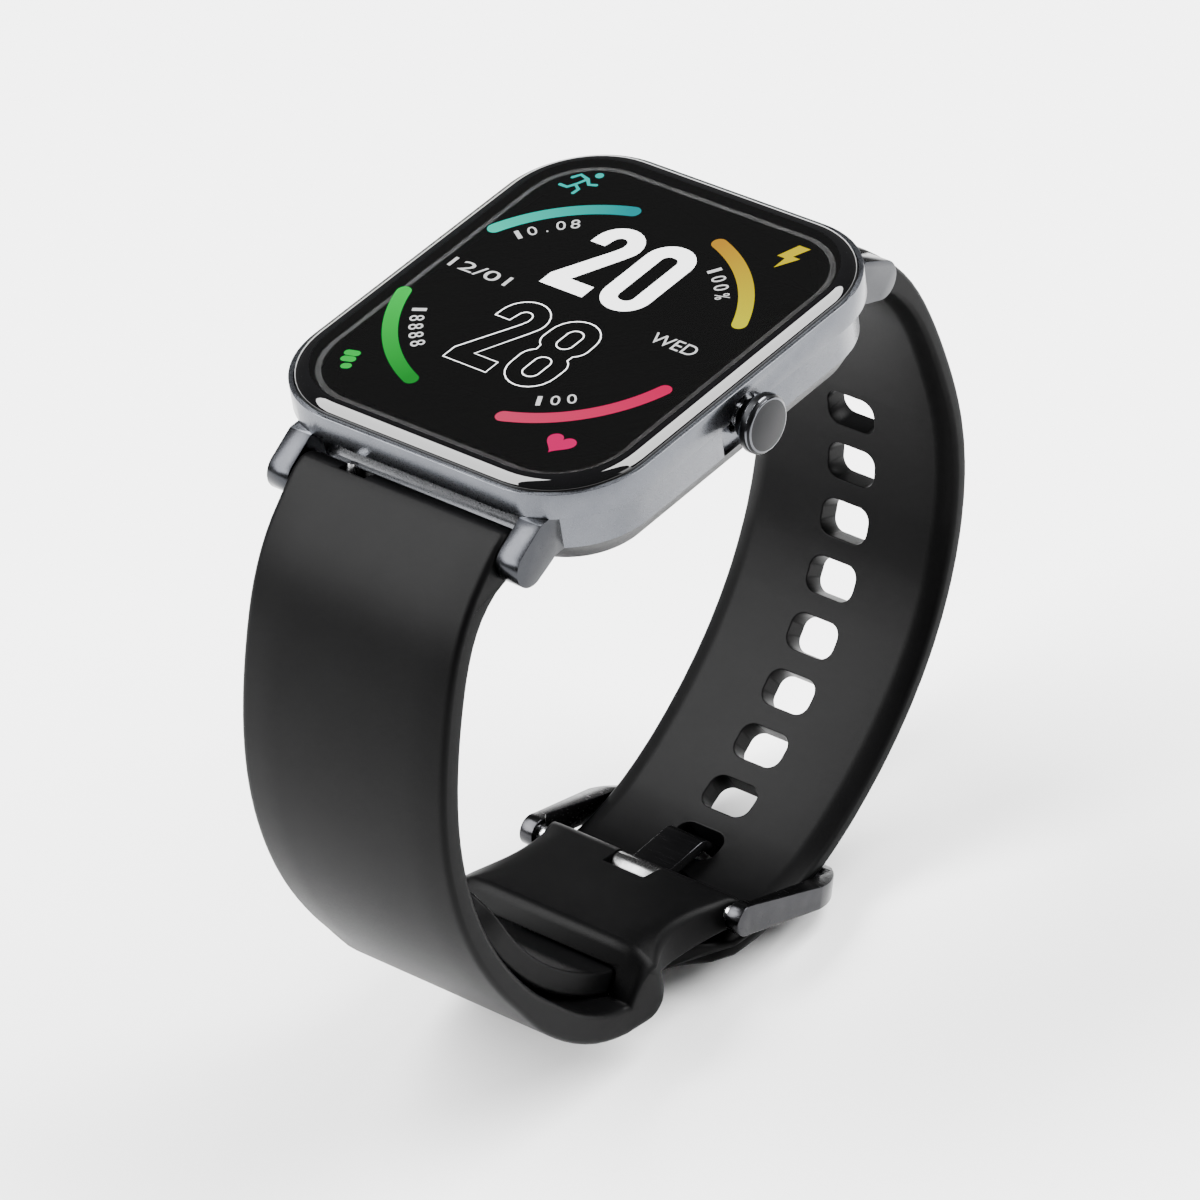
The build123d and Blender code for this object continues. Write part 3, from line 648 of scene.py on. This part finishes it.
solid_figures("hour_figures", "20", ((-6.05, 2.45), (-0.65, 2.35)))
stroke("minute_figures", [loop + loop[:1] for loop in
                          placed("28", ((-6.15, -9.75), (-0.7, -9.85)))], 0.11, lit_white)
show_figures("date_figures", "12/01", (-14.5, 0.45, -8.2, 1.75))
show_figures("day_figures", "WED", (7.3, 0.4, 11.9, 1.75))


# %% Small figures that follow an arc
SMALL_WIDE = 0.78
SMALL_TALL = 1.25


def curved_figures(name, text, start, end, radius, inward=False):
    """Figures spaced along a circle; inward ones have their tops towards the middle."""
    shape = bmesh.new()
    for k, letter in enumerate(text):
        a = math.radians(start + (end - start) * k / (len(text) - 1))
        slim = {".": 0.2, "1": 0.5}.get(letter, 1.0) * SMALL_WIDE
        tall = 0.2 if letter == "." else SMALL_TALL
        low = -SMALL_TALL / 2
        mesh = figures(name + letter, letter, (-slim / 2, low, slim / 2, low + tall))
        facing = a + math.pi / 2 if inward else a - math.pi / 2
        place = (Matrix.Translation(((DIAL_X + radius * math.cos(a)) * MM,
                                     (DIAL_Y + radius * math.sin(a)) * MM, 0))
                 @ Matrix.Rotation(facing, 4, "Z"))
        mesh.transform(place)
        shape.from_mesh(mesh)
        bpy.data.meshes.remove(mesh)
    mesh = bpy.data.meshes.new(name)
    shape.to_mesh(mesh)
    shape.free()
    return piece(name, mesh, "watch", "display", lit_text, sharp=30)


curved_figures("distance_figures", "10.08", 149, 127, 12.75)
curved_figures("charge_figures", "100%", 57, 39.5, 12.75)
curved_figures("steps_figures", "18888", 208, 230, 12.6, inward=True)
curved_figures("pulse_figures", "100", 299, 311.5, 12.4, inward=True)


# %% Signs beside the arcs
def plate(name, outline, material):
    """A thin lit plate with a given outline in millimetres."""
    count = len(outline)
    points = [(x * MM, y * MM, z) for z in (DIAL_Z, DIAL_Z + DIAL_THICK) for x, y in outline]
    faces = [(k, (k + 1) % count, count + (k + 1) % count, count + k) for k in range(count)]
    faces += [tuple(reversed(range(count))), tuple(range(count, 2 * count))]
    mesh = bpy.data.meshes.new(name)
    mesh.from_pydata(points, [], faces)
    shape = bmesh.new()
    shape.from_mesh(mesh)
    bmesh.ops.triangulate(shape, faces=[f for f in shape.faces if len(f.verts) > 4])
    bmesh.ops.recalc_face_normals(shape, faces=shape.faces)
    shape.to_mesh(mesh)
    shape.free()
    return piece(name, mesh, "watch", "display", material, sharp=30)


HEART_X = 10.15
HEART_Y = -14.25
HEART_SCALE = 0.085

heart = []
for k in range(48):
    t = math.tau * k / 48
    heart.append((HEART_X + HEART_SCALE * 16 * math.sin(t) ** 3,
                  HEART_Y + HEART_SCALE * (13 * math.cos(t) - 5 * math.cos(2 * t)
                                           - 2 * math.cos(3 * t) - math.cos(4 * t))))
plate("pulse_sign", heart, lit_red)
plate("charge_sign", [(9.85, 13.75), (11.05, 15.75), (10.3, 15.75), (10.95, 17.3), (9.75, 17.3),
                      (9.05, 15.25), (9.85, 15.25)], lit_gold)
stroke("distance_sign_limbs", [
    [(-12.15, 16.1), (-12.6, 15.0), (-11.9, 14.55), (-11.95, 13.9)],
    [(-12.6, 15.0), (-13.0, 14.35), (-13.75, 14.35)],
    [(-12.15, 16.1), (-13.1, 16.35), (-13.5, 15.7)],
    [(-12.15, 16.1), (-11.55, 15.5), (-10.95, 15.75)]], 0.34, lit_teal)
stroke("distance_sign_head", [[(-11.62, 17.0), (-11.6, 17.0)]], 0.75, lit_teal)
stroke("steps_sign", [
    [(-13.4, -13.3), (-12.7, -13.1)], [(-13.1, -14.1), (-12.5, -13.9)],
    [(-12.4, -14.9), (-12.2, -14.8)]], 0.75, lit_leaf)

# %% [markdown]
# ## The strap
# Both halves are one soft moulding each: a band that is thick at the bar, with a flat inside, a bevel
# along each inner edge and a slightly crowned outside. Seen from the side each half is one outline, so
# a flat curve gives the shape, its extrusion the width and its bevel the round rims. The openings are
# cut next, then the surface is pushed into its crown, because a crowned band is hard to cut cleanly.

# %% Centrelines, from the spring bars down to the buckle
HALF_WIDTH = 11.1
EYE_RADIUS = 2.1  # the round end of a strap half, about its spring bar
SWELL_SHARE = 0.13  # share of a half's length that thickens towards the eye
BAR = {"lower": (-22.6, 3.9), "upper": (22.6, 3.9)}
LOWER_ROUTE = [BAR["lower"], (-27.4, 0.9), (-31.5, -6.6), (-34.2, -19.0), (-33.0, -29.3),
               (-27.9, -39.9), (-21.2, -46.9), (-14.9, -49.0)]
UPPER_ROUTE = [BAR["upper"], (28.0, -1.0), (31.6, -10.5), (32.7, -19.5), (30.4, -29.5),
               (23.6, -39.6), (14.9, -46.3), (4.9, -50.3), (-3.0, -50.5), (-8.5, -49.2),
               (-14.0, -47.5), (-20.4, -43.85), (-25.15, -38.85), (-28.1, -33.5), (-29.7, -28.0)]


def smooth_path(points, step=0.05):
    """A smooth path through points: positions, unit tangents and distance along it."""
    knots = np.array(points, float)
    chord = np.r_[0, np.cumsum(np.linalg.norm(np.diff(knots, axis=0), axis=1))]
    count = len(knots)
    gaps = np.diff(chord)
    # Natural cubic spline: solve for the second derivative at each knot
    system = np.eye(count)
    known = np.zeros((count, 2))
    for k in range(1, count - 1):
        system[k, k - 1:k + 2] = gaps[k - 1], 2 * (gaps[k - 1] + gaps[k]), gaps[k]
        known[k] = 6 * ((knots[k + 1] - knots[k]) / gaps[k] - (knots[k] - knots[k - 1]) / gaps[k - 1])
    system[0, 1] = system[-1, -2] = -1.0
    bend = np.linalg.solve(system, known)
    places = np.linspace(0, chord[-1], int(chord[-1] / step))
    where = np.clip(np.searchsorted(chord, places) - 1, 0, count - 2)
    h = gaps[where][:, None]
    a = (chord[where + 1] - places)[:, None]
    b = (places - chord[where])[:, None]
    line = (bend[where] * a ** 3 / (6 * h) + bend[where + 1] * b ** 3 / (6 * h)
            + (knots[where] / h - bend[where] * h / 6) * a
            + (knots[where + 1] / h - bend[where + 1] * h / 6) * b)
    along = np.gradient(line, axis=0)
    along /= np.linalg.norm(along, axis=1)[:, None]
    reach = np.r_[0, np.cumsum(np.linalg.norm(np.diff(line, axis=0), axis=1))]
    return line, along, reach


class Band:
    """A strap half's centreline, with the outward side on the left or right of travel."""

    def __init__(self, points, outward, half):
        self.line, self.along, self.reach = smooth_path(points)
        self.outward = outward
        self.half = half
        self.swell = SWELL_SHARE * self.reach[-1]

    def at(self, s):
        """Position, tangent and outward normal at a distance along the band."""
        p = np.array([np.interp(s, self.reach, self.line[:, i]) for i in (0, 1)])
        t = np.array([np.interp(s, self.reach, self.along[:, i]) for i in (0, 1)])
        t /= np.linalg.norm(t)
        return p, t, self.outward * np.array([-t[1], t[0]])

    def thickness(self, s):
        """Half the band's thickness, which grows towards the eye."""
        return self.half + (EYE_RADIUS - self.half) * max(0.0, 1 - s / self.swell) ** 2

    def side(self, sign, stations):
        """Outline points on the outer (+1) or inner (-1) side."""
        points = []
        for s in stations:
            p, _, n = self.at(s)
            points.append(tuple(p + sign * self.thickness(s) * n))
        return points


lower_band = Band(LOWER_ROUTE, -1, 1.35)
upper_band = Band(UPPER_ROUTE, 1, 1.15)
print("strap halves, mm:", round(lower_band.reach[-1], 1), round(upper_band.reach[-1], 1))


# %% Outline to solid
def slab(name, outline, half_width, rim):
    """A side outline (y, z) given its width along x, with round rims. Millimetres."""
    curve = bpy.data.curves.new(name, "CURVE")
    curve.dimensions = "2D"
    curve.fill_mode = "BOTH"
    curve.extrude = half_width - rim
    curve.bevel_depth = rim
    curve.bevel_resolution = 2
    curve.offset = -rim
    add_loop(curve, outline)
    mesh = baked(name, curve)
    mesh.materials.clear()
    # The curve lies in its own xy plane: turn it so that it stands in the watch's yz plane
    mesh.transform(Matrix(((0, 0, 1, 0), (1, 0, 0, 0), (0, 1, 0, 0), (0, 0, 0, 1))))
    shape = bmesh.new()
    shape.from_mesh(mesh)
    bmesh.ops.remove_doubles(shape, verts=shape.verts, dist=0.001)
    bmesh.ops.recalc_face_normals(shape, faces=shape.faces)
    shape.to_mesh(mesh)
    shape.free()
    return mesh


# %% Node tree that punches openings out of a band
punch_tree, given, result = new_tree("punch", [
    ("Marks", "NodeSocketObject"), ("Hole width", "NodeSocketFloat"),
    ("Hole length", "NodeSocketFloat"), ("Corner", "NodeSocketFloat"), ("Depth", "NodeSocketFloat"),
    ("Finish", "NodeSocketMaterial")])
marks = node_in(punch_tree, "GeometryNodeObjectInfo", {"Object": given.outputs["Marks"]})
shape_of_hole = node_in(punch_tree, "GeometryNodeCurvePrimitiveQuadrilateral",
                        {"Width": given.outputs["Hole width"],
                         "Height": given.outputs["Hole length"]})
rounded = node_in(punch_tree, "GeometryNodeFilletCurve",
                  {"Curve": shape_of_hole.outputs[0], "Radius": given.outputs["Corner"]})
rounded.mode = "POLY"
rounded.inputs["Count"].default_value = 8
rod = node_in(punch_tree, "GeometryNodeCurvePrimitiveLine", {})
low_end = node_in(punch_tree, "ShaderNodeCombineXYZ", {"Z": given.outputs["Depth"]})
flip = node_in(punch_tree, "ShaderNodeVectorMath", {0: low_end.outputs[0]}, operation="SCALE")
flip.inputs["Scale"].default_value = -1.0
punch_tree.links.new(flip.outputs[0], rod.inputs["Start"])
punch_tree.links.new(low_end.outputs[0], rod.inputs["End"])
cutter = node_in(punch_tree, "GeometryNodeCurveToMesh",
                 {"Curve": rod.outputs[0], "Profile Curve": rounded.outputs[0], "Fill Caps": True})
slope = node_in(punch_tree, "GeometryNodeInputNamedAttribute", {"Name": "slope"}, data_type="FLOAT")
spin = node_in(punch_tree, "ShaderNodeCombineXYZ", {"X": slope.outputs["Attribute"]})
cutters = node_in(punch_tree, "GeometryNodeInstanceOnPoints",
                  {"Points": marks.outputs["Geometry"], "Instance": cutter.outputs[0],
                   "Rotation": spin.outputs[0]})
solid_cutters = node_in(punch_tree, "GeometryNodeRealizeInstances", {"Geometry": cutters.outputs[0]})
punched = node_in(punch_tree, "GeometryNodeMeshBoolean",
                  {"Mesh 1": given.outputs["Geometry"], "Mesh 2": solid_cutters.outputs[0]},
                  operation="DIFFERENCE", solver="EXACT")
painted = node_in(punch_tree, "GeometryNodeSetMaterial",
                  {"Geometry": punched.outputs[0], "Material": given.outputs["Finish"]})
punch_tree.links.new(painted.outputs[0], result.inputs[0])


def punch(name, mesh, band, places, width, length, corner, depth):
    """Cut a rounded opening through the band at each distance along it."""
    points = [(0, *band.at(s)[0]) for s in places]
    marks_mesh = bpy.data.meshes.new(name + "_marks")
    marks_mesh.from_pydata(points, [], [])
    slopes = marks_mesh.attributes.new("slope", "FLOAT", "POINT")
    for k, s in enumerate(places):
        _, t, _ = band.at(s)
        slopes.data[k].value = math.atan2(t[1], t[0])
    marks_object = bpy.data.objects.new(name + "_marks", marks_mesh)
    COLLECTION.objects.link(marks_object)
    made = grown(name, mesh, punch_tree, {
        "Marks": marks_object, "Hole width": width, "Hole length": length, "Corner": corner,
        "Depth": depth, "Finish": silicone})
    bpy.data.objects.remove(marks_object)
    return made


# %% Crown the surface of a band
def shaped(mesh, band, columns, crown, crease, drop, upto, widths=None):
    """Cut a band lengthwise, then push it into its crowned outside and bevelled inside."""
    shape = bmesh.new()
    shape.from_mesh(mesh)
    for x in [c * sign for c in columns for sign in (-1, 1)]:
        parts = list(shape.verts) + list(shape.edges) + list(shape.faces)
        bmesh.ops.bisect_plane(shape, geom=parts, plane_co=(x, 0, 0), plane_no=(1, 0, 0),
                               dist=0.0005)
    spots = np.array([v.co for v in shape.verts])
    gaps = ((spots[:, None, 1:] - band.line[None, ::4]) ** 2).sum(2)
    nearest = gaps.argmin(1) * 4
    for v, k in zip(shape.verts, nearest):
        s = band.reach[k]
        if widths:
            v.co.x *= widths(s) / HALF_WIDTH
        t = band.along[k]
        n = band.outward * np.array([-t[1], t[0]])
        away = np.array([v.co.y, v.co.z]) - band.line[k]
        height = float(away @ n)
        fade = min(1.0, max(0.0, (upto - s) / 4.0)) * min(1.0, s / 3.0)
        across = abs(v.co.x) / HALF_WIDTH
        push = 0.0
        if height > 0.3:
            push = -crown * across ** 3
        if height < -0.3:
            push = drop * max(0.0, abs(v.co.x) - crease) / (HALF_WIDTH - crease)
        v.co.y += push * fade * n[0]
        v.co.z += push * fade * n[1]
    bmesh.ops.recalc_face_normals(shape, faces=shape.faces)
    shape.to_mesh(mesh)
    shape.free()


def scaled_piece(name, mesh, body, slot, node, sharp):
    """Turn a mesh in millimetres into a piece that stands for a CAD part."""
    mesh.transform(Matrix.Scale(MM, 4))
    made = piece(name, evened(name, mesh, sharp), body, slot, sharp=sharp)
    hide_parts(node)
    return made


def round_rims(mesh, reach, width):
    """Round the sharp rims of openings that lie within `reach` of the middle of a band."""
    sharp = math.radians(50)
    shape = bmesh.new()
    shape.from_mesh(mesh)
    bevelled(shape, width, 2, lambda e: (e.calc_face_angle(0) > sharp
                                         and max(abs(v.co.x) for v in e.verts) < reach))
    shape.to_mesh(mesh)
    shape.free()


def carved(name, mesh, cutters):
    """Cut each of a list of meshes out of a mesh."""
    def prepare(holder):
        tools = []
        for cutter in cutters:
            tools.append(bpy.data.objects.new(name + "_tool", cutter))
            COLLECTION.objects.link(tools[-1])
            cut = holder.modifiers.new("cut", "BOOLEAN")
            cut.operation = "DIFFERENCE"
            cut.solver = "EXACT"
            cut.object = tools[-1]
        return tools
    return baked(name, mesh, prepare)


def evened(name, mesh, sharp):
    """Let the large faces decide how the surface is shaded."""
    for face in mesh.polygons:
        face.use_smooth = True
    mesh.set_sharp_from_angle(angle=math.radians(sharp))

    def prepare(holder):
        even = holder.modifiers.new("even", "WEIGHTED_NORMAL")
        even.keep_sharp = True
        even.weight = 80
        return []
    return baked(name, mesh, prepare)


def block(centre, size, tilt=0.0):
    """A box turned about x, in millimetres."""
    shape = bmesh.new()
    bmesh.ops.create_cube(shape, size=1.0)
    shape.transform(Matrix.Translation(centre) @ Matrix.Rotation(tilt, 4, "X")
                    @ Matrix.Diagonal((*size, 1)))
    mesh = bpy.data.meshes.new("block")
    shape.to_mesh(mesh)
    shape.free()
    return mesh


KNOB_X = -6.2


def knob_slot(side):
    """The cutter for the slot that the quick-release knob slides in, on the wrist side."""
    tilt = math.atan2(0.38, 0.92) * side
    y, z = BAR["upper" if side > 0 else "lower"]
    lift = Matrix.Rotation(tilt, 3, "X") @ Vector((0, 0, 2))
    return block((KNOB_X + 0.6, y + lift.y, z + lift.z), (2.8, 1.5, 4.0), tilt)


# %% The half with the holes
HOLE_FIRST = 27.3
HOLE_PITCH = 5.46
HOLE_COUNT = 11
TAIL_HALF = 8.2
TAIL_FROM = 80.0  # distances along the band between which it narrows
TAIL_TO = 85.5
TIP_CORNER = 5.5

upper_length = upper_band.reach[-1]
hole_places = [HOLE_FIRST + k * HOLE_PITCH for k in range(HOLE_COUNT)]
stations = list(np.arange(0.6, HOLE_FIRST - 2.5, 1.5))
for place in hole_places:
    stations += [place - 2.1, place, place + 2.1]
stations += list(np.arange(hole_places[-1] + 3.5, upper_length - 0.1, 1.2)) + [upper_length]
start_angle = math.degrees(math.atan2(*reversed(upper_band.at(0)[2])))
outline = upper_band.side(1, stations)
outline += list(reversed(upper_band.side(-1, stations)))
outline += swept(BAR["upper"], EYE_RADIUS, start_angle + 180, start_angle, 14)[1:-1]
upper_mesh = slab("strap_upper", outline, HALF_WIDTH, 0.35)
upper_mesh = carved("strap_upper", upper_mesh, [knob_slot(1)])
upper_mesh = punch("strap_upper", upper_mesh, upper_band, hole_places, 5.0, 3.3, 1.2, 3.0)
round_rims(upper_mesh, 3.0, 0.14)


def tail_width(s):
    """Half the strap's width, which narrows before the tuck slot and rounds off at the tip."""
    t = min(1.0, max(0.0, (s - TAIL_FROM) / (TAIL_TO - TAIL_FROM)))
    width = HALF_WIDTH + (TAIL_HALF - HALF_WIDTH) * t * t * (3 - 2 * t)
    into_tip = s - (upper_length - TIP_CORNER)
    if into_tip > 0:
        width -= TIP_CORNER - math.sqrt(max(0.0, TIP_CORNER ** 2 - into_tip ** 2))
    return width


shaped(upper_mesh, upper_band, (4.5, 7.0, 9.0, 9.6, 10.3), 0.35, 9.5, 0.6, 200.0, tail_width)
scaled_piece("strap_upper", upper_mesh, "watch", "silicone", "strap_hole_half", 38)

# %% The half with the buckle: its outline
LIP = (-14.9, -48.0)  # round the lower end of the slot
LIP_RADIUS = 2.3
KNEE = (-13.7, -45.1)  # round the upper end of the slot
KNEE_RADIUS = 1.3
BRIDGE_END = 1.45  # radius of the bridge's end, round the buckle pin
NECK = (-12.5, -46.72)  # where the bridge leaves the lip

lower_length = lower_band.reach[-1]
stations = list(np.arange(0.6, lower_length - 1.5, 1.3))
start_angle = math.degrees(math.atan2(*reversed(lower_band.at(0)[2])))
outline = lower_band.side(1, stations)
outline += swept(LIP, LIP_RADIUS, 262, 356, 14)
outline += [NECK]
outline += swept(PIN, BRIDGE_END, 257, 438, 16)
outline += swept(KNEE, KNEE_RADIUS, 78, 139, 6)
outline += list(reversed(lower_band.side(-1, [s for s in stations if s < lower_length - 2.4])))
outline += swept(BAR["lower"], EYE_RADIUS, start_angle + 180, start_angle + 360, 14)[1:-1]
lower_mesh = slab("strap_lower", outline, HALF_WIDTH, 0.45)

# %% The half with the buckle: slot, notch and waist
SLOT_HALF = 8.6
SLOT_ROOM = 0.25
SLOT_FROM = 70  # distances along the other half between which it runs through the slot
SLOT_TO = 104
SLOT_Y = (-31, -7)
BARREL_NOTCH = (5.2, 4.6)

passage = []
for sign in (1, -1):
    side = []
    for s in np.arange(SLOT_FROM, SLOT_TO, 1.4):
        p, _, n = upper_band.at(s)
        if SLOT_Y[0] < p[0] < SLOT_Y[1]:
            side.append(tuple(p + sign * (upper_band.half + SLOT_ROOM) * n))
    passage += side if sign > 0 else side[::-1]
lower_mesh = carved("strap_lower", lower_mesh, [
    slab("passage", passage, SLOT_HALF, 0.8),
    block((0, PIN[0] + 0.6, PIN[1]), (BARREL_NOTCH[0], BARREL_NOTCH[1], 6)),
    knob_slot(-1)])
round_rims(lower_mesh, 9.0, 0.15)
shaped(lower_mesh, lower_band, (7.0, 8.7, 9.6, 10.4), 0.35, 9.5, 0.35, lower_length - 14.0)

WAIST_FROM = -13.2  # where the bridge starts, in y
SHOULDER_FROM = -18.0
SHOULDER_DROP = 1.5
FOLD_LOW = -52  # only what lies above this height is shaped

shape = bmesh.new()
shape.from_mesh(lower_mesh)
for y in np.arange(SHOULDER_FROM, -1.5, 0.9):
    parts = list(shape.verts) + list(shape.edges) + list(shape.faces)
    bmesh.ops.bisect_plane(shape, geom=parts, plane_co=(0, y, 0), plane_no=(0, 1, 0), dist=0.0005)
bridge_end = PIN[0] + BRIDGE_END
for v in shape.verts:
    if v.co.y > SHOULDER_FROM and v.co.z > FOLD_LOW:
        # Narrow in the middle of the bridge, and narrower at its top than at its bottom
        t = (v.co.y - WAIST_FROM) / (bridge_end - WAIST_FROM)
        middle = KNEE[1] + (PIN[1] - KNEE[1]) * max(0.0, v.co.y - KNEE[0]) / (PIN[0] - KNEE[0])
        high = min(1.0, max(0.0, 0.5 + (v.co.z - middle) / 2.7))
        if t > 0:
            waist = math.sin(math.pi * min(1.0, t) ** 0.8)
            v.co.x *= 1 - (0.04 + 0.11 * high) * waist - 0.045 * t
        # Both long sides of the knee and the bridge fall away in a soft shoulder
        shoulder = max(0.0, abs(v.co.x) / HALF_WIDTH - 0.72) / 0.28
        near = min(1.0, (v.co.y - SHOULDER_FROM) / 3.5)
        v.co.z -= SHOULDER_DROP * high * shoulder ** 2 * near * min(1.0, 3.5 * max(0.0, 1 - t))
shape.to_mesh(lower_mesh)
shape.free()
lower_mesh.materials.clear()
lower_mesh.materials.append(silicone)
scaled_piece("strap_lower", lower_mesh, "watch", "silicone", "strap_buckle_half", 38)

# %% Bring the scene up to date
bpy.context.view_layer.update()
